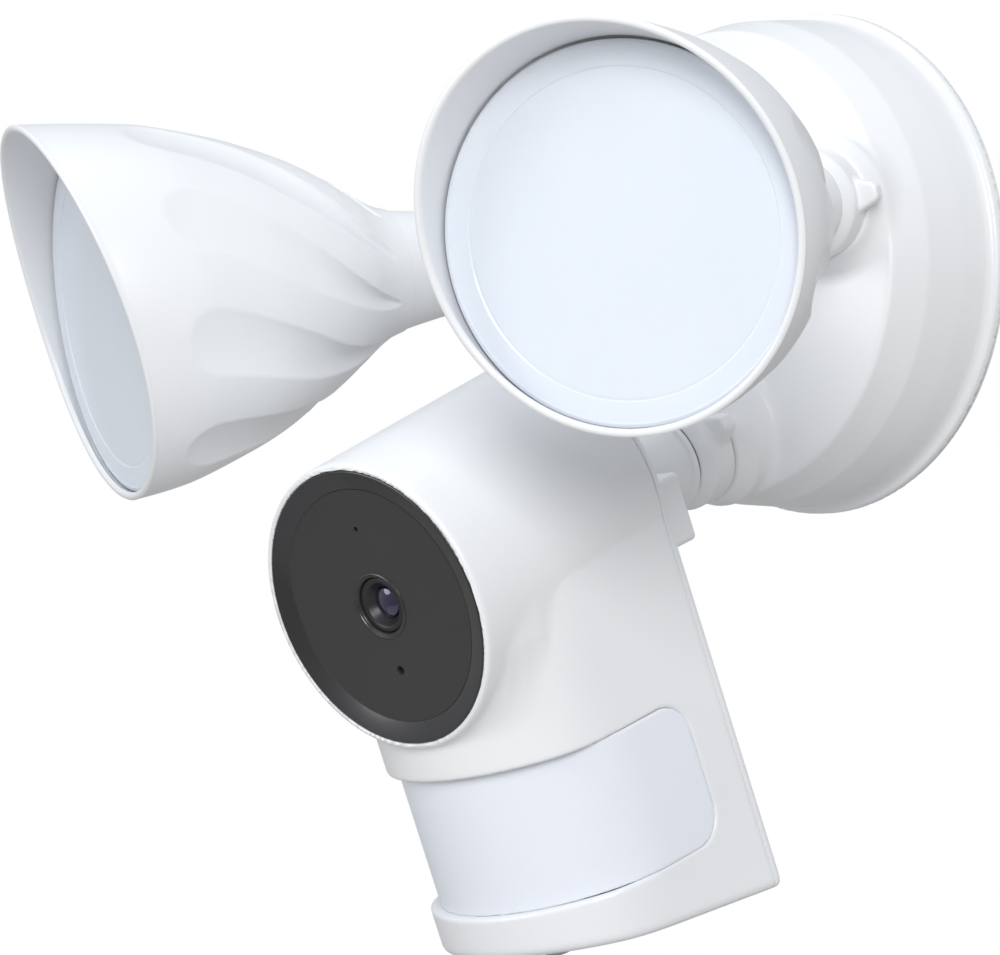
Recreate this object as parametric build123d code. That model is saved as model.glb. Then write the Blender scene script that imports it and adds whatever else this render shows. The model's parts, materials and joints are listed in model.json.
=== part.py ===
"""Floodlight security camera: a wall canopy, two LED lamp heads and a camera unit.

Millimetres. The wall is the plane y = 0, the object faces -Y and +Z is up.
Each head hangs on a ball joint: seat cup, ball stem, neck and lock ring, in that order.
"""
from build123d import *
import math
import os

os.makedirs("parts", exist_ok=True)

# ---------------------------------------------------------------- driving dimensions
# wall canopy, turned about the Y axis
FLANGE_R = 62.5
FLANGE_FRONT_Y = -3.75
GASKET_T = 1.0
DRUM_R = 60.6
CREASE_Y = -25.2
SHOULDER_R = 57.0
SHOULDER_Y = -35.5
DOME_Y = -41.0
FLAT_R = 14.0
CANOPY_WALL = 2.5

# steel crossbar behind the canopy
BAR_HALF = 53.0
BAR_HALF_HEIGHT = 10.0
BAR_T = 2.0
BOX_SCREW_SPACING = 88.9
SLOT_R = 2.5
SLOT_LENGTH = 12.0
CABLE_HOLE_R = 8.0
EAR_DEPTH = 14.0
EAR_X = 55.5
CANOPY_SCREW_Y = -8.0

# ball joint, all radii about the ball's centre
BALL_R = 11.0
SEAT_INNER_R = 11.3
SEAT_OUTER_R = 13.0
CAVITY_R = 13.3
STEM_R = 5.0
JOURNAL_R = 4.5
JOURNAL_GAP = 0.05
CABLE_BORE_R = 2.8
COLLAR_TOP = 1.0
NOSE_R = 12.3
NOSE_TOP = 3.5
RING_R = 13.7
RING_BACK = 1.3
RING_DOME_R = 16.05
CUP_R = 16.55
WEB_FRONT = 21.0
NUT_AF = 14.0
NUT_T = 4.0
TAB_REACH = 18.6

# lamp heads; depth is measured back from the lens
LAMP_X = 90.0
LAMP_Y = -157.5
LAMP_Z = -4.0
LAMP_TURN = 22.95
LAMP_DROP = 6.5
LAMP_REACH = 121.5
LENS_R = 43.3
LENS_T = 2.4
BELL_END = 74.0
BELL_END_R = 15.2
NECK_TIP_R = 11.8
RIM_REACH = 19.0
VISOR_LEAN = 18.0
VISOR_CUT_R = 370.0
VISOR_CUT_UP = -63.4
VISOR_CUT_FORWARD = 371.0
LED_ROWS = ((10.0, 6), (21.0, 12), (31.0, 18))

# camera unit; depth is measured back from the face
FACE_Y = -157.8
FACE_Z = -81.3
CAMERA_DROP = 18.4
CAMERA_DEPTH = 66.7
CAMERA_REACH = 48.0
HALF_WIDTH_FRONT = 35.3
HALF_WIDTH_REAR = 33.4
BODY_DROP = 94.5
FLOOR_FRONT = -88.7
BODY_WALL = 2.3
COVER_T = 2.6
BLACK_R = 33.7
PANEL_R = 28.7
PANEL_SINK = 1.67
CAMERA_LENS_R = 6.8
WINDOW_TOP = -44.0
WINDOW_BOTTOM = -78.6
WINDOW_BACK = 52.0
WINDOW_CORNER_R = 9.0
BOW_BACK = 30.0

PARTS = {}


# ---------------------------------------------------------------- helpers
def keep(name, shape):
    """Name a finished piece; a fused shape is cleaned into plain solids."""
    solids = list(shape.solids())
    PARTS[name] = solids[0] if len(solids) == 1 else Compound(children=solids)


def lathe(*points):
    """Turn a closed outline of (radius, height) points about the Z axis."""
    outline = Polyline(*points, close=True)
    return revolve(Plane.XZ * make_face(outline), Axis.Z)


def disc(radius, low, high):
    """A cylinder on the Z axis between two heights."""
    return Pos(0, 0, low) * Cylinder(radius, high - low, align=(Align.CENTER, Align.CENTER, Align.MIN))


def ring(inner, outer, low, high):
    """A tube on the Z axis between two heights."""
    return disc(outer, low, high) - disc(inner, low - 1, high + 1)


def brick(x0, x1, y0, y1, z0, z1):
    """A box given by its limits along each axis."""
    return Pos((x0 + x1) / 2, (y0 + y1) / 2, (z0 + z1) / 2) * Box(x1 - x0, y1 - y0, z1 - z0)


def around(count, radius, piece, start=0.0):
    """Copies of a piece on a circle about the Z axis."""
    step = 360.0 / count
    return [Rot(0, 0, start + step * i) * Pos(radius, 0, 0) * piece for i in range(count)]


def screw(shank_r, length, head_r, head_t):
    """A pan-head screw: head above z = 0, shank below, with a cross recess."""
    body = disc(shank_r, -length, 0) + disc(head_r, 0, head_t)
    slot = brick(-head_r * 0.6, head_r * 0.6, -0.35, 0.35, head_t - 0.7, head_t + 1)
    return body - slot - Rot(0, 0, 90) * slot


def head_plane(turn, drop, origin):
    """The frame of a head: z points the way it faces, y up, x to the right."""
    a = math.radians(turn)
    d = math.radians(drop)
    face = Vector(math.sin(a) * math.cos(d), -math.cos(a) * math.cos(d), -math.sin(d))
    right = Vector(math.cos(a), math.sin(a), 0)
    return Plane(origin=origin, x_dir=right, z_dir=face)


def behind(plane, distance):
    """The same frame moved back along its facing direction."""
    return Plane(origin=plane.origin - plane.z_dir * distance, x_dir=plane.x_dir, z_dir=plane.z_dir)


RIGHT_LENS = head_plane(LAMP_TURN, LAMP_DROP, (LAMP_X, LAMP_Y, LAMP_Z))
LEFT_LENS = head_plane(-LAMP_TURN, LAMP_DROP, (-LAMP_X, LAMP_Y, LAMP_Z))
CAMERA_FACE = head_plane(0, CAMERA_DROP, (0, FACE_Y, FACE_Z))
RIGHT_BALL = behind(RIGHT_LENS, LAMP_REACH)
LEFT_BALL = behind(LEFT_LENS, LAMP_REACH)
CAMERA_BALL = behind(CAMERA_FACE, CAMERA_DEPTH + CAMERA_REACH)


# ---------------------------------------------------------------- wall canopy
def turned_about_y(*points):
    """Turn a closed outline of (radius, y) points about the Y axis."""
    return revolve(make_face(Polyline(*points, close=True)), Axis.Y)


def canopy_form(inset, back_y):
    """The canopy's closed form: drum, cone and domed front, set in by a wall thickness."""
    front_y = DOME_Y + inset
    shoulder = (SHOULDER_R - inset, SHOULDER_Y + inset)
    side = [(0, back_y), (DRUM_R - inset, back_y), (DRUM_R - inset, CREASE_Y), shoulder]
    centre = (FLAT_R, front_y)
    middle = ((shoulder[0] + FLAT_R) / 2, front_y + (shoulder[1] - front_y) * 0.3)
    front = ThreePointArc(shoulder, middle, centre) + Polyline(centre, (0, front_y), (0, back_y))
    outline = Polyline(*side) + front
    return revolve(make_face(outline), Axis.Y)


def boss():
    """The part of the canopy round one ball: collar, threaded nose, outer skin."""
    return lathe((0, -15.8), (16.0, -15.8), (16.9, -8.0), (16.9, -3.7), (14.2, COLLAR_TOP),
                 (NOSE_R, COLLAR_TOP), (NOSE_R, NOSE_TOP), (0, NOSE_TOP))


def boss_hollow():
    """Room for the seat cup and ball, and the cable hole behind them."""
    rear = Sphere(CAVITY_R) & brick(-20, 20, -20, 20, -20, -2.5)
    front = Sphere(SEAT_INNER_R) & brick(-20, 20, -20, 20, -3, 20)
    return [rear, front, disc(6.0, -20, 0)]


def make_base_housing():
    flange = turned_about_y((0, -GASKET_T), (FLANGE_R, -GASKET_T), (FLANGE_R, FLANGE_FRONT_Y + 1),
                            (FLANGE_R - 1, FLANGE_FRONT_Y), (0, FLANGE_FRONT_Y))
    skin = canopy_form(0, -GASKET_T - 1) + flange
    balls = (LEFT_BALL, RIGHT_BALL, CAMERA_BALL)
    body = skin - canopy_form(CANOPY_WALL, 5)
    for plane in balls:
        body += plane * boss()
    posts = [brick(x - 3, x + 3, -37, -21, z - 3, z + 3) for x in (-22, 22) for z in (33, 39)]
    posts += [brick(x - 2, x + 2, -39.4, -18, -27, -15) for x in (-9, 9)]
    rib = brick(52.5, DRUM_R - 1, -12, -10, -BAR_HALF_HEIGHT, BAR_HALF_HEIGHT)
    body = body.fuse(*posts, rib)
    for plane in balls:
        for piece in boss_hollow():
            body -= plane * piece
    tongue_slot = brick(EAR_X - 1.1, EAR_X + 1.1, -15, -9, -8.2, 8.2)
    screw_hole = Pos(-DRUM_R, CANOPY_SCREW_Y, 0) * Rot(0, 90, 0) * Cylinder(2.0, 12)
    drain = Pos(0, -12, -DRUM_R) * Cylinder(2.0, 12)
    keep("base_housing", body - tongue_slot - screw_hole - drain)


def make_wall_bracket():
    bar = brick(-BAR_HALF - 3.5, BAR_HALF + 3.5, -BAR_T, 0, -8, 8)
    bar += brick(-BAR_HALF, BAR_HALF, -BAR_T, 0, -BAR_HALF_HEIGHT, BAR_HALF_HEIGHT)
    across = Rot(90, 0, 0)
    plate = across * disc(21, 0, BAR_T)
    bar += plate
    for side in (-1, 1):
        bar += brick(side * EAR_X - 1, side * EAR_X + 1, -EAR_DEPTH, 0, -8, 8)
        slot = extrude(SlotOverall(SLOT_LENGTH, 2 * SLOT_R), 3 * BAR_T, both=True)
        bar -= Pos(side * BOX_SCREW_SPACING / 2, 0, 0) * across * slot
    bar -= across * disc(CABLE_HOLE_R, -5, 5)
    bar -= Pos(-EAR_X, CANOPY_SCREW_Y, 0) * Rot(0, 90, 0) * Cylinder(2.0, 8)
    keep("wall_bracket", bar)


def make_base_inside():
    gasket = Rot(90, 0, 0) * ring(DRUM_R - CANOPY_WALL, FLANGE_R - 0.6, 0, GASKET_T)
    keep("wall_gasket", gasket)
    canopy_screw = screw(2.0, 10, 3.4, 1.6)
    keep("canopy_screw", Pos(-DRUM_R, CANOPY_SCREW_Y, 0) * Rot(0, -90, 0) * canopy_screw)
    driver = brick(-30, 30, -21, -8, 19, 46)
    driver = fillet(driver.edges().filter_by(Axis.Y), 3)
    keep("led_driver", driver)
    tabs = [Pos(x, -14.5, 12.5) * Box(10, 9, 13) for x in (-20, 20)]
    keep("lamp_connectors", Compound(children=tabs))
    block = brick(-14, 14, -18, -8, -28, -14)
    wells = [Pos(x, -8, -21) * Rot(90, 0, 0) * Cylinder(2.2, 8) for x in (-9, 0, 9)]
    block = block.cut(*wells)
    keep("terminal_block", block)
    clamp_screw = Rot(-90, 0, 0) * screw(1.4, 2.0, 2.0, 1.2)
    screws = [Pos(x, -10.0, -21) * clamp_screw for x in (-9, 0, 9)]
    keep("terminal_screws", Compound(children=screws))


# ---------------------------------------------------------------- ball joints
def lock_ring():
    """The screwed ring that closes one ball joint, with its thumb tab on +x."""
    band = disc(RING_R, RING_BACK, 14) & Sphere(RING_DOME_R)
    wedge = Polyline((RING_R - 1, -4), (TAB_REACH, -1.7), (TAB_REACH, 1.7), (RING_R - 1, 4), close=True)
    tab = Pos(0, 0, 1.8) * extrude(make_face(wedge), 4.0)
    tab = fillet(tab.edges().filter_by(Axis.Z).sort_by(Axis.X)[-2:], 1.4)
    band = band + tab
    band -= disc(NOSE_R + 0.05, RING_BACK - 1, NOSE_TOP + 0.3)
    band -= Sphere(SEAT_INNER_R)
    band -= lathe((0, 4), (9.0, 4), (9.0, 6.83), (11.0, 11.7), (11.0, 16), (0, 16))
    return band


def ball_seat():
    """The friction cup behind the ball."""
    cup = Sphere(SEAT_OUTER_R) - Sphere(SEAT_INNER_R)
    cup = cup & brick(-20, 20, -20, 20, -20, -7.0)
    return cup - disc(5.5, -20, 0)


def ball_stem():
    """Ball, waist and journal in one piece, bored for the cable."""
    body = Sphere(BALL_R) + disc(STEM_R, 5, 15.4) + disc(JOURNAL_R, 15, WEB_FRONT + NUT_T + 2)
    body -= disc(CABLE_BORE_R, -20, 40)
    return body - Pos(0, 0, -BALL_R) * Cone(5.5, CABLE_BORE_R, 6)


def stem_nut():
    """The hexagon nut that keeps the neck on its journal."""
    low = WEB_FRONT + 0.3
    hexagon = extrude(RegularPolygon(NUT_AF / 2, 6, major_radius=False), NUT_T)
    nut = (Pos(0, 0, low) * hexagon) & disc(NUT_AF * 0.56, low, low + NUT_T)
    return nut - disc(JOURNAL_R, 0, 40)


def neck_rear(body):
    """Cut the concave cup and the journal bore into the rear of a neck."""
    return body - Sphere(CUP_R) - disc(JOURNAL_R + JOURNAL_GAP, 0, 40)


def lamp_neck():
    """The tapered tube between ball joint and bell, with the spigot that enters the bell."""
    crease = LAMP_REACH - BELL_END
    tube = lathe((0, 10), (NECK_TIP_R, 10), (NECK_TIP_R, 12.2), (BELL_END_R - 0.1, crease),
                 (12.4, crease), (12.4, crease + 6), (0, crease + 6))
    tube -= lathe((0, WEB_FRONT), (9.4, WEB_FRONT), (10.2, crease + 7), (0, crease + 7))
    return neck_rear(tube)


def camera_arm():
    """The shorter neck of the camera unit, with its flange on the rear cover."""
    tube = lathe((0, 10), (NECK_TIP_R, 10), (NECK_TIP_R, 12.8), (11.2, 14.2), (13.4, CAMERA_REACH - 3),
                 (17.0, CAMERA_REACH - 3), (17.0, CAMERA_REACH), (0, CAMERA_REACH))
    tube -= lathe((0, WEB_FRONT), (8.6, WEB_FRONT), (10.0, CAMERA_REACH + 1), (0, CAMERA_REACH + 1))
    return neck_rear(tube)


def make_ball_joint(name, plane, ring_turn):
    keep(name + "_lock_ring", plane * Rot(0, 0, ring_turn) * lock_ring())
    keep(name + "_ball_seat", plane * ball_seat())
    keep(name + "_ball_stem", plane * ball_stem())
    keep(name + "_stem_nut", plane * stem_nut())


# ---------------------------------------------------------------- lamp heads
def bell(wall):
    """The bell's solid outline, set in from the outer skin by a wall thickness."""
    slope_wall = wall * 1.12
    points = [(48.9 - wall, RIM_REACH), (45.8 - wall, 0), (39.9 - slope_wall, -25),
              (33.8 - slope_wall, -40), (25.4 - 1.05 * slope_wall, -55), (18.2 - slope_wall, -66)]
    back = -BELL_END if wall == 0 else -BELL_END + 6
    end_r = BELL_END_R if wall == 0 else 12.4
    side = Spline(*points, (end_r, back))
    closing = Polyline((end_r, back), (0, back), (0, RIM_REACH), (48.9 - wall, RIM_REACH))
    return revolve(Plane.XZ * make_face([side, closing]), Axis.Z)


def visor_cut(lean):
    """The tool that trims the rim to a long curve with its peak leaning sideways."""
    tool = Rot(0, 90, 0) * Cylinder(VISOR_CUT_R, 200)
    return Rot(0, 0, lean) * Pos(0, VISOR_CUT_UP, VISOR_CUT_FORWARD + 6.9) * tool


def lamp_shell(lean):
    shell = bell(0) - bell(1.9)
    seat = ring(36.5, 43.2, -6.9, -3.9) & bell(1.0)
    shell += seat
    shell -= disc(12.4, -BELL_END - 1, -BELL_END + 8)
    shell -= visor_cut(lean)
    holes = around(4, 39.0, disc(1.4, -7.5, -4.7), 45)
    return shell.cut(*holes)


def lamp_lens():
    """The round diffuser, with a shallow step that leaves a ring inside its edge."""
    body = disc(LENS_R, -LENS_T, 0)
    return body - disc(LENS_R * 0.86, -0.25, 1) - ring(LENS_R - 1.2, LENS_R + 1, -0.5, 1)


def heat_sink():
    """A cast disc with radial fins behind it, inside the bell."""
    body = disc(41.2, -9.9, -6.9) + disc(9, -24, -9)
    fins = around(12, 20, brick(-12.5, 11, -1.0, 1.0, -22, -8.5), 15)
    body = body.fuse(*fins)
    holes = around(4, 39.0, disc(1.4, -12, -5), 45)
    return body.cut(*holes)


def led_board():
    board = disc(35.5, -6.9, -5.3)
    return board - brick(-4, 4, -3, 3, -8, -4)


def led_chips():
    """Rows of square LEDs on three circles."""
    chip = brick(-1.75, 1.75, -1.4, 1.4, -5.3, -4.6)
    chips = []
    for radius, count in LED_ROWS:
        chips += around(count, radius, chip)
    return Compound(children=chips)


def make_lamp(name, plane, lean):
    ball = behind(plane, LAMP_REACH)
    keep(name + "_lamp_shell", plane * lamp_shell(lean))
    keep(name + "_lamp_lens", plane * lamp_lens())
    keep(name + "_lens_gasket", plane * ring(38.5, 42.6, -3.9, -LENS_T))
    keep(name + "_heat_sink", plane * heat_sink())
    keep(name + "_led_board", plane * led_board())
    keep(name + "_led_chips", plane * led_chips())
    fixing = Rot(180, 0, 0) * screw(1.4, 5.0, 2.2, 1.4)
    screws = around(4, 39.0, Pos(0, 0, -9.9) * fixing, 45)
    keep(name + "_sink_screws", plane * Compound(children=screws))
    keep(name + "_lamp_neck", ball * lamp_neck())


# ---------------------------------------------------------------- camera unit
def tombstone(half_width, drop):
    """A half-round top on straight sides, with a flat bottom."""
    return Circle(half_width) + Pos(0, -drop / 2) * Rectangle(2 * half_width, drop)


def bowed_front(half_width, bulge, low, high):
    """A prism whose plan is flat at the back and bows forward by a half ellipse."""
    plan = Pos(0, -BOW_BACK) * Ellipse(half_width, bulge)
    plan += Pos(0, -BOW_BACK - 30) * Rectangle(2 * half_width, 60)
    return Pos(0, low, 0) * extrude(Plane.XZ * plan, -(high - low))


def camera_body(inset, bulge):
    """The closed outer form of the camera body, or its hollow when inset."""
    rear = Pos(0, 0, -CAMERA_DEPTH) * tombstone(HALF_WIDTH_REAR - inset, BODY_DROP + 6)
    front = tombstone(HALF_WIDTH_FRONT - inset, BODY_DROP + 6)
    lower = loft([rear, front]) & bowed_front(HALF_WIDTH_FRONT + 0.2 - inset, bulge, -120, 60)
    barrel = Pos(0, 0, -CAMERA_DEPTH / 2) * Cone(HALF_WIDTH_REAR - inset, HALF_WIDTH_FRONT - inset,
                                                 CAMERA_DEPTH)
    slope = math.degrees(math.atan((BODY_DROP + FLOOR_FRONT) / CAMERA_DEPTH))
    floor = brick(-60, 60, -60, inset, -120, 60)
    below = Pos(0, FLOOR_FRONT, 0) * Rot(-slope, 0, 0) * floor
    return (lower + barrel) - below


def window_zone(grow):
    """The block that cuts the sensor window out of the bowed front and both sides."""
    zone = brick(-60, 60, WINDOW_BOTTOM - grow, WINDOW_TOP + grow, -WINDOW_BACK - grow, 30)
    rear_edges = zone.edges().filter_by(Axis.X).sort_by(Axis.Z)[:2]
    return fillet(rear_edges, WINDOW_CORNER_R)


def cover_posts():
    """Places of the four rear cover screws, as (x, y)."""
    return ((-24.5, 14.0), (24.5, 14.0), (-26.0, -84.0), (26.0, -84.0))


def cover_post(x, y, grow):
    """A square post that takes one cover screw and joins the side wall."""
    side = math.copysign(1, x)
    ends = sorted((x - side * (4 + grow), side * 34))
    return brick(ends[0], ends[1], y - 4 - grow, y + 4 + grow, -CAMERA_DEPTH + COVER_T, -46)


def camera_housing():
    outer = camera_body(0, 28.5)
    hollow = camera_body(BODY_WALL, 24.0) - disc(60, -7.0, 10)
    shell = outer - hollow
    shell -= brick(-60, 60, -120, 60, -CAMERA_DEPTH - 5, -CAMERA_DEPTH + COVER_T)
    shell -= disc(BLACK_R, -4.5, 5)
    shell -= disc(30.5, -12, 0)
    shell -= window_zone(0)
    for x, y in cover_posts():
        shell += cover_post(x, y, 0) & camera_body(1, 24.0)
    for x, y in cover_posts():
        shell -= Pos(x, y, -CAMERA_DEPTH + COVER_T + 4) * Cylinder(1.25, 10)
    shell -= Pos(0, -91, -46) * Rot(90, 0, 0) * Cylinder(3.05, 14)
    shell -= Pos(4, -90, -19) * Rot(90, 0, 0) * Cylinder(4.0, 14)
    return shell


def pir_window():
    """The curved translucent window that follows the bowed front."""
    low = -100
    skin = bowed_front(HALF_WIDTH_REAR + 0.45, 26.0, low, 0)
    skin -= bowed_front(HALF_WIDTH_REAR - 1.15, 24.4, low - 1, 1)
    return skin & window_zone(0)


def rear_cover():
    plate = camera_body(0, 28.5) & brick(-60, 60, -120, 60, -CAMERA_DEPTH, -CAMERA_DEPTH + COVER_T)
    block = brick(-29, 29, -12, 4, -CAMERA_DEPTH - 9.5, -CAMERA_DEPTH)
    block -= disc(17.0, -CAMERA_DEPTH - 20, -CAMERA_DEPTH)
    cover = plate + block
    cover -= disc(8.0, -CAMERA_DEPTH - 20, -CAMERA_DEPTH + 10)
    for x, y in cover_posts():
        cover -= Pos(x, y, -CAMERA_DEPTH) * Cylinder(1.25, 20)
        cover -= Pos(x, y, -CAMERA_DEPTH) * Cylinder(2.6, 2.8)
    slots = [brick(-9, 9, y - 0.7, y + 0.7, -80, -60) for y in (-72, -68, -64, -60, -56)]
    return cover.cut(*slots)


def rear_seal():
    """The soft seal inside the joint between housing and rear cover."""
    outer = camera_body(BODY_WALL, 24.0)
    inner = camera_body(BODY_WALL + 1.6, 22.0)
    low = -CAMERA_DEPTH + COVER_T
    seal = (outer - inner) & brick(-60, 60, -120, 60, low, low + 1.4)
    for x, y in cover_posts():
        seal -= cover_post(x, y, 0.2)
    return seal


def face_bezel():
    """The black bevelled ring round the face, with a lip behind the panel."""
    return lathe((PANEL_R, -PANEL_SINK), (BLACK_R, 0), (BLACK_R, -4.5), (27.0, -4.5), (27.0, -3.67),
                 (PANEL_R, -3.67))


def face_panel():
    panel = disc(PANEL_R, -3.67, -PANEL_SINK) - disc(8.2, -10, 0)
    panel -= Pos(0, 19, 0) * disc(0.6, -10, 0)
    return panel - Pos(0, -16, 0) * disc(1.1, -10, 0)


def lens_barrel():
    """The lens tube on its square foot, hollow in front of the glass."""
    body = disc(CAMERA_LENS_R, -24, -2.4) + brick(-8, 8, -8, 8, -26, -22)
    body -= lathe((0, -4.4), (4.0, -4.4), (5.4, -2.0), (0, -2.0))
    return body - disc(3.6, -12, 0) - brick(-5.5, 5.5, -5.5, 5.5, -27, -23.8)


def lens_glass():
    """A plano-convex front element."""
    crown = Pos(0, 0, -3.2 - 8.0) * Sphere(8.0)
    return (crown & disc(3.6, -8, 0)) - disc(10, -20, -6.4)


def make_camera_optics(at):
    keep("face_bezel", at * face_bezel())
    keep("face_panel", at * face_panel())
    keep("lens_ring", at * (ring(CAMERA_LENS_R, 8.2, -5.0, -1.3)))
    keep("lens_barrel", at * lens_barrel())
    keep("lens_glass", at * lens_glass())
    keep("image_sensor", at * brick(-4.5, 4.5, -4.5, 4.5, -26, -24.2))
    keep("microphone", at * Pos(0, -16, 0) * disc(2.4, -6.0, -3.67))
    keep("light_sensor", at * Pos(0, 19, 0) * disc(1.6, -5.6, -3.67))


def make_camera_boards(at):
    board = brick(-24, 24, -24, 20, -27.6, -26)
    keep("main_board", at * board)
    keep("wifi_module", at * brick(-18, -4, -22, -10, -30.2, -27.6))
    keep("pir_board", at * brick(-22, 22, -76, -48, -24.6, -23))
    cans = [Pos(x, -61, 0) * (disc(4.1, -23, -19) + disc(4.6, -23, -22.4)) for x in (-13, 0, 13)]
    keep("pir_sensors", at * Compound(children=cans))
    cone = disc(13.0, -62.5, -60.5) + Pos(0, 0, -56.5) * Cone(12.0, 7.0, 8.0)
    keep("speaker", at * Pos(0, -64, 0) * (cone + disc(8.5, -52.5, -49.5)))
    keep("camera_connector", at * brick(6, 18, -20, -10, -33.6, -27.6))


def make_camera_cover(at):
    keep("rear_cover", at * rear_cover())
    keep("rear_seal", at * rear_seal())
    fixing = Rot(180, 0, 0) * screw(1.25, 8, 2.5, 1.3)
    screws = [Pos(x, y, -CAMERA_DEPTH + 1.4) * fixing for x, y in cover_posts()]
    keep("cover_screws", at * Compound(children=screws))
    button = disc(2.95, -3.2, 0.6) + disc(4.2, 0.6, 1.8)
    keep("reset_button", at * Pos(0, -90.3, -46) * Rot(-90, 0, 0) * button)
    plug = disc(4.0, 0, 4.4) + Pos(0, 0, -1.5) * Cone(4.0, 5.0, 3.0)
    keep("bottom_plug", at * Pos(4, -90.95, -19) * Rot(-90, 0, 0) * plug)


def make_camera(at):
    keep("camera_housing", at * camera_housing())
    keep("pir_window", at * pir_window())
    keep("camera_arm", CAMERA_BALL * camera_arm())
    make_camera_optics(at)
    make_camera_boards(at)
    make_camera_cover(at)


# ---------------------------------------------------------------- build and write
make_base_housing()
make_wall_bracket()
make_base_inside()
make_ball_joint("left", LEFT_BALL, 176)
make_ball_joint("right", RIGHT_BALL, 4)
make_ball_joint("camera", CAMERA_BALL, 20)
make_lamp("left", LEFT_LENS, -VISOR_LEAN)
make_lamp("right", RIGHT_LENS, VISOR_LEAN)
make_camera(CAMERA_FACE)

for node, shape in PARTS.items():
    export_step(shape, "parts/" + node + ".step")
print(len(PARTS), "nodes written")
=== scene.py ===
"""Floodlight security camera: the looks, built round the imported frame.

Shapes are worked out in millimetres and scaled to metres when their mesh is made.
A head's own frame has its origin at the lens or face, z the way it faces, y up and x to the right.
"""
import bpy
import json
import math
import numpy as np
from mathutils import Matrix, Vector


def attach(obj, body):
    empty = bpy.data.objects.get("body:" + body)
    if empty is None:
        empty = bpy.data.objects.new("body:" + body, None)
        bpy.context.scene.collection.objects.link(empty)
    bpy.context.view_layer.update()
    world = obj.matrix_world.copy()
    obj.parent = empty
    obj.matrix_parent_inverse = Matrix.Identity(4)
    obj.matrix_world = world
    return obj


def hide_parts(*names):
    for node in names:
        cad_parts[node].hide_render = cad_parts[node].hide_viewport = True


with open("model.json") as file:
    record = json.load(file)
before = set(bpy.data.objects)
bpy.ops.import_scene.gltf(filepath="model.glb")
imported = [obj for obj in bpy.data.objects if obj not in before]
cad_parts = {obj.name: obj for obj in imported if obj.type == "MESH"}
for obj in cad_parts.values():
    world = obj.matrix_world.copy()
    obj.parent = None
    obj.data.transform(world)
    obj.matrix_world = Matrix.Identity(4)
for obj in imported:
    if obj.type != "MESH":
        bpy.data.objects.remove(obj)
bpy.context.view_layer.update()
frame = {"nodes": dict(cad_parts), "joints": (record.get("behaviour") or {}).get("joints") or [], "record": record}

MM = 0.001
NODES = frame["nodes"]
SLOT_OF = {part["node"]: part["material_slot"] for part in frame["record"]["subparts"]}

# reach of each head from its ball to its lens or face
LAMP_REACH = 121.5
CAMERA_DEPTH = 66.7
ARM_REACH = 48.0
CAMERA_REACH = ARM_REACH + CAMERA_DEPTH

# canopy
FLANGE_R = 62.5
DRUM_R = 60.6
SHOULDER_R = 57.0
SHOULDER_Y = -35.5
DOME_Y = -41.0
FLAT_R = 14.0
CANOPY_WALL = 2.5
SIDE_SCREW_Y = -8.0
DRAIN_Y = -12.0
CANOPY_HOLE_R = 2.0
CANOPY_HOLE_ENDS = (-70, -50)

# ball joints; heights go out along the head's axis from the ball's centre
BOSS_FILLET = 3.6
SPIGOT_R = 12.3
SPIGOT_LOW = -6
SPIGOT_TOP = 3.5
SEAT_ROOM_R = 13.3
SEAT_ROOM_LOW = -20
SEAT_ROOM_TOP = -2.5
BALL_ROOM_R = 11.3
BALL_ROOM_LOW = -3
CABLE_ROOM_R = 6.0
RING_DOME_R = 16.05
RING_THREAD_R = 12.35
RING_THREAD_TOP = 3.8
RING_MOUTH_R = 9.0
RING_MOUTH_LOW = 6.8
RING_MOUTH_SLOPE = 0.41
TAB_MIDDLE = 4.0
TAB_HALF = 2.2
# where each ring's thumb tab stands, in degrees round the joint
TAB_TURN = {"left": 176, "right": 4, "camera": 20}
NECK_CUP_R = 16.55
NECK_BORE = ((9.4, 21.0), (4.55, 21.0))

# lamp bell, (depth behind the lens, radius)
BELL_CURVE = ((74.0, 15.2), (70.0, 16.1), (66.0, 18.0), (61.0, 21.2), (55.0, 25.4), (48.0, 29.7),
              (40.0, 33.8), (33.0, 36.9), (25.0, 39.7), (17.0, 42.2), (12.0, 43.5))
BELL_BACK = BELL_CURVE[0][0]
BELL_WALL = 1.9
BELL_PLAIN_RIM_R = 45.6
BELL_COLUMNS = 360
LIP = 1.0
HOOD_FOOT_R = 44.05
INSIDE_BACK = 67.0
# the lens seat and the socket for the neck, (radius, height above the lens)
LENS_SEAT = ((43.3, -2.9), (43.0, -3.7), (42.7, -3.9), (36.6, -3.9), (36.5, -4.0), (36.5, -6.8),
             (36.6, -6.9), (41.3, -6.9))
NECK_SOCKET = ((12.6, -69.0), (12.45, -70.0), (12.45, -73.6), (12.8, -74.0), (14.9, -74.0))
# the rim's height and radius round the visor, as a mean and two waves
RIM_MEAN = 8.33
RIM_RISE = 7.97
RIM_SECOND = 1.46
RIM_R = 46.2
RIM_R_FIRST = 2.1
RIM_R_SECOND = 1.2
RIM_R_TURN = 12.0
# the bell is fuller on its upper side, most of all before the neck
BELL_CROWN = 1.9
BELL_CROWN_GROWTH = 0.5
BELL_CROWN_GROWS = (38.0, 58.0)
BELL_CROWN_FADE = 14.0
BELL_CROWN_END = 76.0
VISOR_LEAN = 18.0
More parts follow.
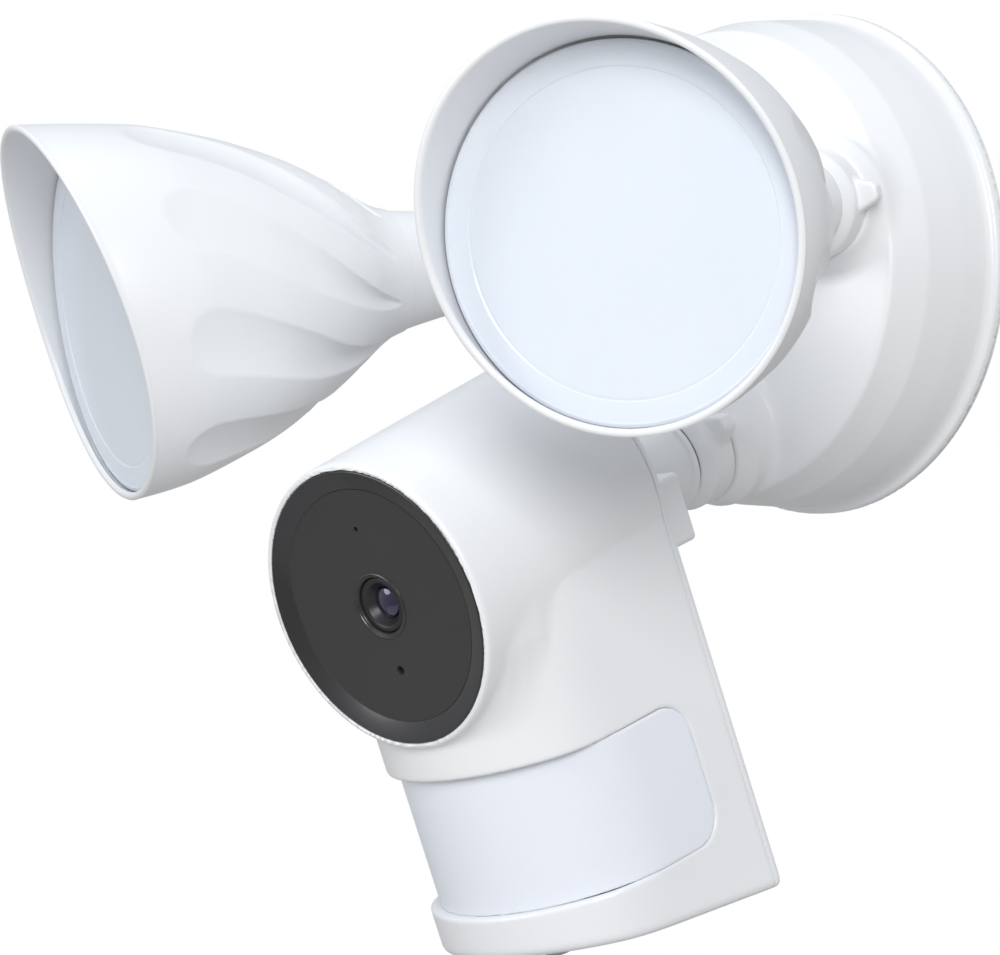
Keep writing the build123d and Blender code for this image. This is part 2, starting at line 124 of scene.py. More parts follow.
# petal dimples: depths behind the lens, angles in degrees
PETALS = 9
PETAL_FIRST = 7.0
PETAL_START = 5.5
PETAL_END = 70.0
PETAL_HALF = 11.0
PETAL_CAP = 10.0
PETAL_TAIL = 9.0
PETAL_DEPTH = 1.5
PETAL_DEEPENING = 0.4
PETAL_DEEPENS_OVER = 45.0
PETAL_NARROWING = 0.42
PETAL_NARROWS_FROM = 36.0
PETAL_NARROWS_OVER = 22.0
SWIRL_FIRST = 0.083
SWIRL_SECOND = 0.01244
LENS_R = 43.3

# camera body
HALF_FRONT = 35.3
HALF_REAR = 35.0
FLOOR_FRONT = -88.7
FLOOR_SLOPE = 0.13
BARREL_LIFT = 0.06
BOW_BACK = 30.0
BODY_PLAN_MARGIN = 1.2
BODY_BULGE = 29.5
HOLLOW_PLAN_MARGIN = -1.0
HOLLOW_BULGE = 25.0
WINDOW_BULGE = 29.7
PLAN_REACH = 40
PLAN_MIDDLE = -12.0
SIDE_ROUND = 5.0
FLOOR_ROUND = 2.6
REAR_ROUND = 2.2
BODY_WALL = 2.3
FRONT_WALL = 7.0
COVER_T = 2.6
PARTING_ROUND = 0.05
BLEND = 8.0
BLACK_R = 33.7
PANEL_R = 28.7
PANEL_SINK = 1.67
WINDOW_TOP = -44.0
WINDOW_BOTTOM = -78.6
WINDOW_BACK = 52.0
WINDOW_T = 1.5
WINDOW_CORNER = 8.0
WINDOW_PLAY = 0.04
COVER_POSTS = ((-24.5, 14.0), (24.5, 14.0), (-26.0, -84.0), (26.0, -84.0))
POST_HALF = 4
SPEAKER_ROWS = (-72, -68, -64, -60, -56)
# reset button and plug, (x, depth) in the floor of the body
RESET_AT = (0, 46)
RESET_HOLE_R = 3.05
PLUG_AT = (4, 19)
PLUG_HOLE_R = 4.0
PLUG_TOP = -90.95
FLOOR_HOLE_ENDS = (-110, -84)


# ---------------------------------------------------------------- frames of the heads
def head_frame(joint_name, reach):
    """The frame at a head's lens or face, from the joint that it spins on."""
    joint = next(j for j in frame["joints"] if j["name"] == joint_name)
    facing = Vector(joint["axis"]).normalized()
    right = Vector((-facing.y, facing.x, 0)).normalized()
    up = facing.cross(right)
    origin = Vector(joint["pos_m"]) + facing * reach * MM
    matrix = Matrix((right, up, facing)).transposed().to_4x4()
    matrix.translation = origin
    return matrix


RIGHT_LENS = head_frame("right_spin", LAMP_REACH)
LEFT_LENS = head_frame("left_spin", LAMP_REACH)
FACE = head_frame("camera_spin", CAMERA_REACH)
RIGHT_BALL = head_frame("right_spin", 0)
LEFT_BALL = head_frame("left_spin", 0)
CAMERA_BALL = head_frame("camera_spin", 0)


# ---------------------------------------------------------------- mesh helpers
def add_mesh(name, points, faces, at, body, nodes, sharp=50.0):
    """A smooth-shaded piece that stands for CAD nodes and rides on their body."""
    mesh = bpy.data.meshes.new(name)
    mesh.from_pydata((np.asarray(points) * MM).tolist(), [], [list(f) for f in faces])
    mesh.transform(at)
    mesh.validate()
    mesh.polygons.foreach_set("use_smooth", [True] * len(mesh.polygons))
    mesh.set_sharp_from_angle(angle=math.radians(sharp))
    piece = bpy.data.objects.new(name, mesh)
    bpy.context.scene.collection.objects.link(piece)
    slot = SLOT_OF[nodes[0]]
    mesh.materials.append(material(slot))
    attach(piece, body)
    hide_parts(*nodes)
    return piece


def soften(points, steps=7):
    """An outline whose corners (a, b, radius) are rounded."""
    out = []
    count = len(points)
    for i in range(count):
        corner = np.array(points[i][:2], float)
        radius = points[i][2] if len(points[i]) > 2 else 0.0
        before = np.array(points[i - 1][:2], float) - corner
        after = np.array(points[(i + 1) % count][:2], float) - corner
        if radius <= 0:
            out.append(corner)
            continue
        before_length = np.linalg.norm(before)
        after_length = np.linalg.norm(after)
        u = before / before_length
        v = after / after_length
        half = math.acos(max(-1.0, min(1.0, float(u @ v)))) / 2
        reach = min(radius / math.tan(half), 0.48 * before_length, 0.48 * after_length)
        bend = reach * math.tan(half)
        centre = corner + (u + v) / np.linalg.norm(u + v) * bend / math.sin(half)
        start = corner + u * reach - centre
        end = corner + v * reach - centre
        for t in np.linspace(0, 1, steps):
            arm = start * (1 - t) + end * t
            out.append(centre + arm / np.linalg.norm(arm) * bend)
    return np.array(out)


def through(points, per_span=6):
    """A smooth open curve through (a, b) points."""
    p = np.array(points, float)
    p = np.vstack([2 * p[0] - p[1], p, 2 * p[-1] - p[-2]])
    out = []
    for i in range(1, len(p) - 2):
        for t in np.linspace(0, 1, per_span, endpoint=False):
            a = 2 * p[i]
            b = (p[i + 1] - p[i - 1]) * t
            c = (2 * p[i - 1] - 5 * p[i] + 4 * p[i + 1] - p[i + 2]) * t ** 2
            d = (3 * p[i] - p[i - 1] - 3 * p[i + 1] + p[i + 2]) * t ** 3
            out.append((a + b + c + d) / 2)
    out.append(p[-2])
    return np.array(out)


def grid_faces(rows, columns, closed_rows):
    """Quads over a grid that closes round its columns, and over its rows if asked."""
    faces = []
    for i in range(rows if closed_rows else rows - 1):
        low = i * columns
        high = (i + 1) % rows * columns
        for j in range(columns):
            k = (j + 1) % columns
            faces.append((low + j, low + k, high + k, high + j))
    return faces


def lathe(name, outline, at, body, nodes, segments=160, closed=True, sharp=40.0):
    """Turns (radius, height) points about z; a closed outline makes a ring."""
    outline = np.array(outline)
    turn = np.linspace(0, 2 * math.pi, segments, endpoint=False)
    radius = outline[:, 0][:, None]
    height = outline[:, 1][:, None] + 0 * turn
    points = np.stack([radius * np.cos(turn), radius * np.sin(turn), height], -1).reshape(-1, 3)
    faces = grid_faces(len(outline), segments, closed)
    if not closed:
        last = (len(outline) - 1) * segments
        faces.append(tuple(range(segments))[::-1])
        faces.append(tuple(range(last, last + segments)))
    return add_mesh(name, points, faces, at, body, nodes, sharp)


# ---------------------------------------------------------------- solids from distances
def outline_distance(points, reach=6.0, pitch=0.12):
    """A function giving the signed distance to a closed outline in a plane."""
    p = np.asarray(points, float)[:, :2]
    low = p.min(0) - reach
    size = np.ceil((p.max(0) + reach - low) / pitch).astype(int) + 1
    a = (low[0] + pitch * np.arange(size[0]))[:, None] + np.zeros(size)
    b = (low[1] + pitch * np.arange(size[1]))[None, :] + np.zeros(size)
    near = np.full(size, 1e9)
    inside = np.zeros(size, bool)
    for start, end in zip(p, np.roll(p, -1, axis=0)):
        step = end - start
        length = step @ step
        if length < 1e-12:
            continue
        t = np.clip(((a - start[0]) * step[0] + (b - start[1]) * step[1]) / length, 0, 1)
        near = np.minimum(near, (a - start[0] - t * step[0]) ** 2 + (b - start[1] - t * step[1]) ** 2)
        if step[1] != 0:
            crossing = start[0] + (b - start[1]) * step[0] / step[1]
            inside ^= ((b >= min(start[1], end[1])) & (b < max(start[1], end[1])) & (a < crossing))
    table = np.where(inside, -1, 1) * np.sqrt(near)

    def distance(x, y):
        gx = np.clip((x - low[0]) / pitch, 0, size[0] - 1.001)
        gy = np.clip((y - low[1]) / pitch, 0, size[1] - 1.001)
        i = gx.astype(int)
        j = gy.astype(int)
        s = gx - i
        t = gy - j
        return ((table[i, j] * (1 - s) + table[i + 1, j] * s) * (1 - t)
                + (table[i, j + 1] * (1 - s) + table[i + 1, j + 1] * s) * t)
    return distance


def join(a, b, soft=0.0):
    """Union of two solids, with a fillet of about that size."""
    if soft <= 0:
        return np.minimum(a, b)
    h = np.maximum(soft - np.abs(a - b), 0) / soft
    return np.minimum(a, b) - h * h * soft / 4


def cut(a, b, soft=0.0):
    """What is left of a outside b, with a rounded edge of about that size."""
    return -join(-a, b, soft)


def both(a, b, soft=0.0):
    """What two solids share, with a rounded edge of about that size."""
    return -join(-a, -b, soft)


def block(x, y, z, low, high, radius=0.0):
    """Distance to a box between two corners, its edges rounded."""
    dx = np.abs(x - (low[0] + high[0]) / 2) - (high[0] - low[0]) / 2 + radius
    dy = np.abs(y - (low[1] + high[1]) / 2) - (high[1] - low[1]) / 2 + radius
    dz = np.abs(z - (low[2] + high[2]) / 2) - (high[2] - low[2]) / 2 + radius
    outer = np.sqrt(np.maximum(dx, 0) ** 2 + np.maximum(dy, 0) ** 2 + np.maximum(dz, 0) ** 2)
    return outer + np.minimum(np.maximum(dx, np.maximum(dy, dz)), 0) - radius


def rod(a, b, h, radius, low, high):
    """Distance to a cylinder along h with radius in the plane of a and b."""
    return np.maximum(np.hypot(a, b) - radius, np.maximum(low - h, h - high))


CORNERS = np.array([(i, j, k) for i in (0, 1) for j in (0, 1) for k in (0, 1)])


def onto_surface(distance, points, step):
    """Moves points onto the zero level of a distance by Newton's method."""
    small = 0.02
    for _ in range(4):
        gradient = np.empty_like(points)
        for axis in range(3):
            shift = np.zeros(3)
            shift[axis] = small
            ahead = distance(*(points + shift).T)
            gradient[:, axis] = (ahead - distance(*(points - shift).T)) / (2 * small)
        value = distance(*points.T)
        move = value / np.maximum((gradient ** 2).sum(1), 0.2)
        points = points - np.clip(move, -step / 3, step / 3)[:, None] * gradient
    return points


def skin(distance, low, high, step):
    """Points and quads of the zero level of a signed distance."""
    axes = [np.arange(lo, hi + step, step) for lo, hi in zip(low, high)]
    value = distance(*np.meshgrid(*axes, indexing="ij"))
    inside = value < 0
    shape = np.array(value.shape) - 1
    filled = np.zeros(shape, np.int8)
    for c in CORNERS:
        filled += inside[c[0]:c[0] + shape[0], c[1]:c[1] + shape[1], c[2]:c[2] + shape[2]]
    active = (filled > 0) & (filled < 8)
    cells = np.argwhere(active)
    corner_values = np.stack([value[tuple((cells + c).T)] for c in CORNERS], 1)
    total = np.zeros((len(cells), 3))
    hits = np.zeros(len(cells))
    for a in range(8):
        for b in range(a + 1, 8):
            if np.abs(CORNERS[a] - CORNERS[b]).sum() != 1:
                continue
            crossed = (corner_values[:, a] < 0) != (corner_values[:, b] < 0)
            gap = np.where(crossed, corner_values[:, a] - corner_values[:, b], 1.0)
            share = (corner_values[:, a] / gap)[:, None]
            total += np.where(crossed[:, None], CORNERS[a] + share * (CORNERS[b] - CORNERS[a]), 0)
            hits += crossed
    points = np.array(low) + (cells + total / hits[:, None]) * step
    number = np.full(shape, -1)
    number[active] = np.arange(len(cells))
    quads = []
    for axis in range(3):
        u = np.eye(3, dtype=int)[(axis + 1) % 3]
        v = np.eye(3, dtype=int)[(axis + 2) % 3]
        rear = np.take(inside, range(shape[axis]), axis)
        front = np.take(inside, range(1, shape[axis] + 1), axis)
        edges = np.argwhere(rear != front)
        keep = np.ones(len(edges), bool)
        for other in ((axis + 1) % 3, (axis + 2) % 3):
            keep &= (edges[:, other] > 0) & (edges[:, other] < shape[other])
        edges = edges[keep]
        outward = rear[tuple(edges.T)]
        quad = np.stack([number[tuple((edges - offset).T)] for offset in (u + v, v, 0 * u, u)], 1)
        quads.append(np.where(outward[:, None], quad, quad[:, ::-1]))
    return onto_surface(distance, points, step), np.vstack(quads)


# ---------------------------------------------------------------- materials
def shader(name):
    """A new node material: (material, its Principled shader, a function that adds nodes)."""
    made = bpy.data.materials.new(name)
    made.use_nodes = True
    tree = made.node_tree
    principled = next(n for n in tree.nodes if n.type == "BSDF_PRINCIPLED")

    def add(kind, **settings):
        node = tree.nodes.new(kind)
        for key, value in settings.items():
            if key in node.inputs:
                node.inputs[key].default_value = value
            else:
                setattr(node, key, value)
        return node
    return made, principled, add


def link(made, source, target):
    made.node_tree.links.new(source, target)


def moulded(name, low, high, roughness, grain=900.0, bump=0.05, cloud=14.0, settings=None):
    """Moulded plastic or metal: a slow drift of colour, fine grain in roughness and height."""
    made, principled, add = shader(name)
    place = add("ShaderNodeTexCoord")
    drift = add("ShaderNodeTexNoise", Scale=cloud, Detail=3.0)
    link(made, place.outputs["Object"], drift.inputs["Vector"])
    tint = add("ShaderNodeValToRGB")
    tint.color_ramp.elements[0].position = 0.35
    tint.color_ramp.elements[1].position = 0.65
    tint.color_ramp.elements[0].color = (*low, 1)
    tint.color_ramp.elements[1].color = (*high, 1)
    link(made, drift.outputs["Fac"], tint.inputs["Fac"])
    link(made, tint.outputs["Color"], principled.inputs["Base Color"])
    fine = add("ShaderNodeTexNoise", Scale=grain, Detail=2.0)
    link(made, place.outputs["Object"], fine.inputs["Vector"])
    spread = add("ShaderNodeMapRange")
    spread.inputs["To Min"].default_value = roughness - 0.05
    spread.inputs["To Max"].default_value = roughness + 0.05
    link(made, fine.outputs["Fac"], spread.inputs["Value"])
    link(made, spread.outputs["Result"], principled.inputs["Roughness"])
    height = add("ShaderNodeBump", Strength=bump, Distance=0.0002)
    link(made, fine.outputs["Fac"], height.inputs["Height"])
    link(made, height.outputs["Normal"], principled.inputs["Normal"])
    for key, value in (settings or {}).items():
        principled.inputs[key].default_value = value
    return made


def diffuser_material(name):
    """Opal diffuser: light wanders in it, and a fine prismatic grain lies under the surface."""
    return moulded(name, (0.75, 0.80, 0.90), (0.78, 0.83, 0.92), 0.30, grain=1600.0, bump=0.03, settings={
        "Subsurface Weight": 0.35, "Subsurface Radius": (0.006, 0.006, 0.007), "Subsurface Scale": 0.6,
        "Coat Weight": 0.25, "Coat Roughness": 0.18})


def window_material(name):
    """Milky film with the faint cells of the lens array moulded into its back."""
    made = moulded(name, (0.79, 0.82, 0.90), (0.82, 0.85, 0.93), 0.36, grain=1200.0, bump=0.02, settings={
        "Subsurface Weight": 0.3, "Subsurface Radius": (0.003, 0.003, 0.004), "Subsurface Scale": 0.5})
    nodes = made.node_tree.nodes
    principled = next(n for n in nodes if n.type == "BSDF_PRINCIPLED")
    place = next(n for n in nodes if n.type == "TEX_COORD")
    cells = nodes.new("ShaderNodeTexVoronoi")
    cells.feature = "SMOOTH_F1"
    cells.inputs["Scale"].default_value = 130.0
    link(made, place.outputs["Object"], cells.inputs["Vector"])
    height = nodes.new("ShaderNodeBump")
    height.inputs["Strength"].default_value = 0.04
    height.inputs["Distance"].default_value = 0.0004
    link(made, cells.outputs["Distance"], height.inputs["Height"])
    grain = next(n for n in nodes if n.type == "BUMP" and n != height)
    link(made, grain.outputs["Normal"], height.inputs["Normal"])
    link(made, height.outputs["Normal"], principled.inputs["Normal"])
    return made


MAKERS = {
    "white_shell": lambda n: moulded(n, (0.80, 0.81, 0.83), (0.83, 0.84, 0.855), 0.34, settings={
        "Coat Weight": 0.15, "Coat Roughness": 0.2}),
    "white_dull": lambda n: moulded(n, (0.74, 0.75, 0.76), (0.78, 0.79, 0.80), 0.5),
    "diffuser": diffuser_material,
    "pir_white": window_material,
    "black_face": lambda n: moulded(n, (0.016, 0.016, 0.018), (0.022, 0.022, 0.024), 0.30, bump=0.02,
                                    settings={"Coat Weight": 0.3, "Coat Roughness": 0.12}),
    "grey_face": lambda n: moulded(n, (0.026, 0.026, 0.027), (0.031, 0.031, 0.032), 0.5, bump=0.03),
    "pale_foam": lambda n: moulded(n, (0.68, 0.69, 0.70), (0.75, 0.76, 0.77), 0.85, grain=2500.0, bump=0.3),
    "lens_black": lambda n: moulded(n, (0.008, 0.008, 0.009), (0.014, 0.014, 0.015), 0.38, bump=0.03),
    "lens_coated": lambda n: moulded(n, (0.012, 0.010, 0.030), (0.020, 0.016, 0.045), 0.10, bump=0.0,
                                     settings={"Coat Weight": 1.0, "Coat Roughness": 0.03, "IOR": 1.7,
                                               "Specular Tint": (0.5, 0.42, 0.8, 1.0)}),
    "seal_rubber": lambda n: moulded(n, (0.03, 0.03, 0.03), (0.05, 0.05, 0.05), 0.75, bump=0.2),
    "plug_rubber": lambda n: moulded(n, (0.36, 0.38, 0.40), (0.42, 0.44, 0.46), 0.6, bump=0.15),
    "zinc_steel": lambda n: moulded(n, (0.50, 0.50, 0.48), (0.66, 0.66, 0.64), 0.38, cloud=160.0, settings={
        "Metallic": 1.0}),
    "brass_screw": lambda n: moulded(n, (0.60, 0.44, 0.18), (0.72, 0.56, 0.28), 0.32, cloud=200.0, settings={
        "Metallic": 1.0}),
    "cast_alu": lambda n: moulded(n, (0.50, 0.51, 0.53), (0.60, 0.61, 0.63), 0.48, bump=0.25, settings={
        "Metallic": 1.0}),
    "pcb_white": lambda n: moulded(n, (0.72, 0.72, 0.70), (0.78, 0.78, 0.76), 0.45),
    "pcb_green": lambda n: moulded(n, (0.015, 0.09, 0.035), (0.02, 0.13, 0.05), 0.4, cloud=400.0),
    "led_yellow": lambda n: moulded(n, (0.75, 0.60, 0.14), (0.85, 0.72, 0.24), 0.35, cloud=600.0),
    "chip_black": lambda n: moulded(n, (0.02, 0.02, 0.022), (0.035, 0.035, 0.037), 0.55),
    "acetal": lambda n: moulded(n, (0.55, 0.55, 0.53), (0.62, 0.62, 0.60), 0.4),
    "can_steel": lambda n: moulded(n, (0.55, 0.54, 0.50), (0.66, 0.65, 0.60), 0.3, cloud=260.0, settings={
        "Metallic": 1.0}),
}
MADE = {}


def material(slot):
    """The material of a slot, made once."""
    if slot not in MADE:
        MADE[slot] = MAKERS.get(slot, MAKERS["white_dull"])(slot)
    return MADE[slot]


for node_name, node in NODES.items():
    node.data.materials.clear()
    node.data.materials.append(material(SLOT_OF[node_name]))


# ---------------------------------------------------------------- canopy
def to_head(at):
    """A function from points in the frame, in millimetres, to a head's own frame."""
    inverse = np.array(at.inverted())[:3, :3]
    origin = np.array(at.translation) / MM

    def local(x, y, z):
        dx = x - origin[0]
        dy = y - origin[1]
        dz = z - origin[2]
        return [inverse[i, 0] * dx + inverse[i, 1] * dy + inverse[i, 2] * dz for i in range(3)]
    return local


def dome(inset):
    """Points of the gently domed front, from the shoulder to the centre."""
    share = np.linspace(0, 1, 24)[1:]
    radius = SHOULDER_R - inset + (FLAT_R - SHOULDER_R + inset) * share
    rise = np.sin(share * math.pi / 2) ** 0.9
    return [(r, SHOULDER_Y + inset + (DOME_Y - SHOULDER_Y) * t) for r, t in zip(radius, rise)]


CANOPY_OUTLINE = soften([(-20, -1.0), (FLANGE_R, -1.0, 0.3), (FLANGE_R, -3.75, 1.1), (61.3, -3.9, 0.7),
                         (60.7, -5.6, 1.6), (DRUM_R, -14.0, 8.0), (59.9, -25.2, 2.2),
                         (SHOULDER_R, SHOULDER_Y, 1.5), *dome(0), (-20, DOME_Y)])
HOLLOW_OUTLINE = soften([(-20, 6.0), (DRUM_R - CANOPY_WALL, 6.0), (DRUM_R - CANOPY_WALL, -25.2, 2.0),
                         (SHOULDER_R - CANOPY_WALL, SHOULDER_Y + CANOPY_WALL, 1.5), *dome(CANOPY_WALL),
                         (-20, DOME_Y + CANOPY_WALL)])
COLLAR_OUTLINE = soften([(-20, -15.8), (16.0, -15.8, 1.0), (16.9, -8.0, 2.0), (16.9, -3.7, 2.4),
                         (14.3, 1.0, 0.8), (-20, 1.0)])
INSIDE_POSTS = [((x - 3, -37, z - 3), (x + 3, -21, z + 3)) for x in (-22, 22) for z in (33, 39)]
INSIDE_POSTS += [((x - 2, -39.4, -27), (x + 2, -18, -15)) for x in (-9, 9)]
INSIDE_POSTS += [((52.5, -12, -10), (DRUM_R - 1, -10, 10))]


def with_sockets(body, bosses):
    """The canopy with a threaded spigot, room for seat and ball, and a cable hole at each joint."""
    for around, h, _ in bosses:
        spigot = np.maximum(around - SPIGOT_R, np.maximum(SPIGOT_LOW - h, h - SPIGOT_TOP))
        body = join(body, spigot)
        ball = np.hypot(around, h)
        seat_room = np.maximum(ball - SEAT_ROOM_R, np.maximum(SEAT_ROOM_LOW - h, h - SEAT_ROOM_TOP))
        body = cut(body, seat_room)
        body = cut(body, np.maximum(ball - BALL_ROOM_R, BALL_ROOM_LOW - h))
        body = cut(body, np.maximum(around - CABLE_ROOM_R, h))
    return body


def make_canopy():
    outer_at = outline_distance(CANOPY_OUTLINE)
    hollow_at = outline_distance(HOLLOW_OUTLINE)
    collar_at = outline_distance(COLLAR_OUTLINE)
    heads = [to_head(at) for at in (LEFT_BALL, RIGHT_BALL, CAMERA_BALL)]

    def distance(x, y, z):
        radius = np.hypot(x, z)
        outer = outer_at(radius, y)
        hollow = hollow_at(radius, y)
        for low, high in INSIDE_POSTS:
            hollow = cut(hollow, block(x, y, z, low, high))
        bosses = []
        for head in heads:
            a, b, h = head(x, y, z)
            around = np.hypot(a, b)
            bosses.append((around, h, collar_at(around, h)))
        for _, _, collar in bosses:
            outer = join(outer, collar, BOSS_FILLET)
            hollow = cut(hollow, collar, 1.0)
        body = with_sockets(cut(outer, hollow), bosses)
        body = cut(body, rod(y - SIDE_SCREW_Y, z, x, CANOPY_HOLE_R, *CANOPY_HOLE_ENDS))
        return cut(body, rod(x, y - DRAIN_Y, z, CANOPY_HOLE_R, *CANOPY_HOLE_ENDS))

    points, quads = skin(distance, (-63.4, -57.0, -63.4), (63.4, -0.3, 63.4), 0.7)
    add_mesh("canopy_shell", points, quads, Matrix.Identity(4), "base", ["base_housing"], 55)


# ---------------------------------------------------------------- ball joints
def arc_outline(radius, start, end):
    """Points (radius, height) along a sphere, between two angles from its pole in degrees."""
    angles = np.radians(np.linspace(start, end, 8))
    return [(radius * math.sin(a), radius * math.cos(a)) for a in angles]


def lock_ring_mesh():
    """The ring round one ball: a domed band, a lipped mouth and a rounded thumb tab on +x."""
    dome_arc = arc_outline(RING_DOME_R, 57, 44.5)
    band_outline = soften([(-2, 1.3), (13.7, 1.3, 0.35), (13.7, 8.2, 0.9), *dome_arc, (10.9, 11.4, 0.3),
                           (RING_MOUTH_R, RING_MOUTH_LOW, 0.3), (RING_MOUTH_R, 5.0), (-2, 5.0)])
    band_at = outline_distance(band_outline, pitch=0.06)
    tab_outline = soften([(9.0, -4.3), (13.2, -4.1, 2.0), (18.6, -1.9, 1.7), (18.6, 1.9, 1.7),
                          (13.2, 4.1, 2.0), (9.0, 4.3)])
    tab_at = outline_distance(tab_outline, pitch=0.06)

    def distance(x, y, z):
        around = np.hypot(x, y)
        band = band_at(around, z)
        tab = both(tab_at(x, y), np.abs(z - TAB_MIDDLE) - TAB_HALF, 1.2)
        body = join(band, tab, 0.8)
        body = cut(body, np.maximum(around - RING_THREAD_R, z - RING_THREAD_TOP))
        body = cut(body, np.hypot(around, z) - BALL_ROOM_R)
        mouth = around - (RING_MOUTH_R + (z - RING_MOUTH_LOW) * RING_MOUTH_SLOPE)
        return cut(body, np.maximum(mouth, TAB_MIDDLE - z), 0.4)
    return skin(distance, (-14.6, -14.6, 0.7), (19.6, 14.6, 12.4), 0.32)


def make_lock_rings():
    points, quads = lock_ring_mesh()
    for name, at in (("left", LEFT_BALL), ("right", RIGHT_BALL), ("camera", CAMERA_BALL)):
        place = at @ Matrix.Rotation(math.radians(TAB_TURN[name]), 4, "Z")
        add_mesh(name + "_ring_piece", points, quads, place, name + "_ring", [name + "_lock_ring"])


# ---------------------------------------------------------------- lamp heads
def rim_height(turn):
    return RIM_MEAN + RIM_RISE * np.cos(turn) + RIM_SECOND * np.cos(2 * turn)


def rim_radius(turn):
    return RIM_R + RIM_R_FIRST * np.cos(turn) + RIM_R_SECOND * np.cos(2 * turn)


def swirl(depth):
    """How far the petals have turned, in degrees, at a depth behind the lens."""
    s = np.maximum(depth - PETAL_START, 0)
    return SWIRL_FIRST * s + SWIRL_SECOND * s ** 2


def petal_depth(depth, offset):
    """How deep the petal dimples are at a depth behind the lens and an angle from the visor's peak."""
    pitch = 360.0 / PETALS
    s = depth - PETAL_START
    narrowing = 1 - PETAL_NARROWING * np.clip((s - PETAL_NARROWS_FROM) / PETAL_NARROWS_OVER, 0, 1)
    across = ((offset - PETAL_FIRST + pitch / 2) % pitch - pitch / 2) / (PETAL_HALF * narrowing)
    start = np.maximum(PETAL_CAP - s, 0) / PETAL_CAP
    tail = np.maximum(s - (PETAL_END - PETAL_START - PETAL_TAIL), 0) / PETAL_TAIL
    from_middle = across ** 2 + start ** 2 + tail ** 2
    bowl = np.maximum(1 - from_middle, 0) ** 0.9
    deepest = PETAL_DEPTH + PETAL_DEEPENING * np.clip(s / PETAL_DEEPENS_OVER, 0, 1)
    return deepest * bowl


def crown_at(depth, turn):
    """How much fuller the bell is at a depth and an angle from the visor's peak."""
    crown = BELL_CROWN * (1 + np.cos(turn)) / 2
    start, end = BELL_CROWN_GROWS
    growing = 1 + BELL_CROWN_GROWTH * np.clip((depth - start) / (end - start), 0, 1)
    return crown * growing * np.clip((BELL_CROWN_END - depth) / BELL_CROWN_FADE, 0, 1)


def bell_skin(offset, turn, inset, per_span):
    """Rings (radius, height, angle) of the bell behind the rim, set in by a wall, from the neck forward."""
    rings = []
    for depth, radius in through(BELL_CURVE, per_span):
        skin_radius = radius + crown_at(depth, turn) - inset - petal_depth(depth, offset)
        rings.append((skin_radius, -depth, offset + swirl(depth)))
    return rings


def rim_rings(offset, turn, rim_z, rim_r):
    """Rings of the outer skin as it runs out to the rim, round the lip and back down to the lens."""
    rings = []
    join_depth, join_radius = BELL_CURVE[-1]
    slope = (BELL_PLAIN_RIM_R - join_radius) / join_depth
    crown = BELL_CROWN * (1 + np.cos(turn)) / 2
    for share in np.linspace(0, 1, 26)[1:]:
        height = -join_depth + share * (rim_z - LIP + join_depth)
        plain = join_radius + slope * (height + join_depth)
        wanted = join_radius + slope * (rim_z + join_depth)
        radius = plain + crown + (rim_r - wanted - crown) * share ** 2
        rings.append((radius - petal_depth(-height, offset), height, offset + swirl(-height)))
    for angle in np.linspace(0, math.pi, 9)[1:-1]:
        rings.append((rim_r - LIP + LIP * math.cos(angle), rim_z - LIP + LIP * math.sin(angle), offset))
    for share in np.linspace(0, 1, 14):
        height = (rim_z - LIP) * (1 - share) - 2.5 * share
        opening = np.clip(height / (rim_z - LIP), 0, 1)
        rings.append((HOOD_FOOT_R + (rim_r - 2 * LIP - HOOD_FOOT_R) * opening, height, offset))
    return rings


def bell_mesh(lean):
    """Rings from the neck out to the rim, round the lip and back along the inside, past the lens seat."""
    offset = np.arange(BELL_COLUMNS) * 360.0 / BELL_COLUMNS
    turn = np.radians(offset)
    rim_r = rim_radius(turn + math.radians(math.copysign(RIM_R_TURN, lean)))
    rings = bell_skin(offset, turn, 0.0, 9)
    rings += rim_rings(offset, turn, rim_height(turn), rim_r)
    rings += [(radius, height, offset) for radius, height in LENS_SEAT]
    inside = bell_skin(offset, turn, BELL_WALL * 1.12, 4)
    rings += [ring for ring in reversed(inside) if -ring[1] <= INSIDE_BACK]
    rings += [(radius, height, offset + swirl(-height)) for radius, height in NECK_SOCKET]
    grid = np.array([[value + 0 * turn for value in ring] for ring in rings])
    radius, height, angle = grid[:, 0], grid[:, 1], np.radians(90.0 - (grid[:, 2] + lean))
    points = np.stack([radius * np.cos(angle), radius * np.sin(angle), height], -1)
    return points.reshape(-1, 3), grid_faces(len(rings), BELL_COLUMNS, True)


def make_lamp(name, at, ball, lean):
    body = name + "_lamp"
    points, faces = bell_mesh(lean)
    add_mesh(name + "_bell", points, faces, at, body, [name + "_lamp_shell"], 38)
    lens = soften([(0.01, -2.4), (LENS_R, -2.4, 0.2), (LENS_R, -0.35, 0.3), (42.4, 0.0, 0.4),
                   (41.9, -0.12, 0.2), (37.5, -0.05, 0.2), (37.1, -0.3, 0.25), (36.6, -0.2, 0.2),
                   (30.0, -0.16), (0.01, -0.1)], 5)
    lathe(name + "_diffuser", lens, at, body, [name + "_lamp_lens"], 200, False)
    crease = LAMP_REACH - BELL_BACK
    cup = arc_outline(NECK_CUP_R, 17, 43.5)
    outer = through([(11.75, 13.2), (12.0, 20.0), (12.5, 28.0), (13.3, 36.0), (14.3, 43.0),
                     (15.1, crease)], 5)
    neck = [*cup, (11.7, 12.15), (11.8, 12.35), *outer, (12.35, crease + 0.02), (12.3, crease + 5.7),
            (12.0, crease + 6), (10.3, crease + 6), (10.2, crease + 5.6), *NECK_BORE]
    lathe(name + "_neck_piece", neck, ball, body, [name + "_lamp_neck"])


